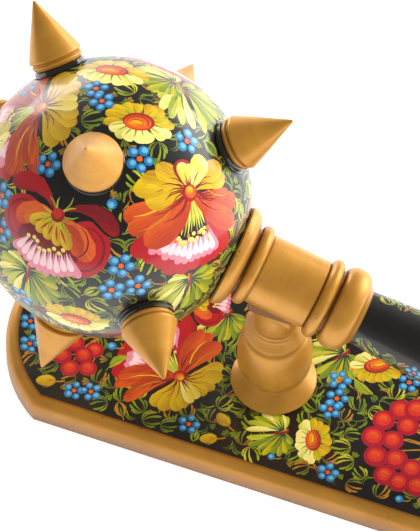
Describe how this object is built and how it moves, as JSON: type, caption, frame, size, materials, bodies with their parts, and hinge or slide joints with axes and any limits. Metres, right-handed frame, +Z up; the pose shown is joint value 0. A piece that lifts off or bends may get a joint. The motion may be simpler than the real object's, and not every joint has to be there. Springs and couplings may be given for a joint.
{
  "type": "ceremonial mace on a stand",
  "caption": "Turned and flower-painted wooden mace with a spiked ball head, lying in the saddles of a two-post display board.",
  "frame": {"origin": "middle of the flat underside of the stand's board", "axes": "+Z up, +X along the board from the mace's ball towards its butt, +Y across the board"},
  "size_m": [0.3759, 0.1489, 0.1858],
  "materials": {
    "gold_paint": "bronze-gold paint on turned wood, semi-gloss, with fine turning lines",
    "black_lacquer": "glossy black lacquer with hand-painted flowers, berries and leaves",
    "handle_paint": "gold paint on the rings, barrel, collar and butt, glossy black lacquer with fine gold curls on the grip"
  },
  "bodies": {
    "root": {"board": "black_lacquer", "head_post": "gold_paint", "handle_post": "gold_paint", "ball": "black_lacquer", "handle": "handle_paint", "spike_crown_1": "gold_paint", "spike_crown_2": "gold_paint", "spike_crown_3": "gold_paint", "spike_middle_1": "gold_paint", "spike_middle_2": "gold_paint", "spike_middle_3": "gold_paint", "spike_middle_4": "gold_paint", "spike_handle_1": "gold_paint", "spike_handle_2": "gold_paint", "spike_handle_3": "gold_paint"}
  },
  "joints": []
}
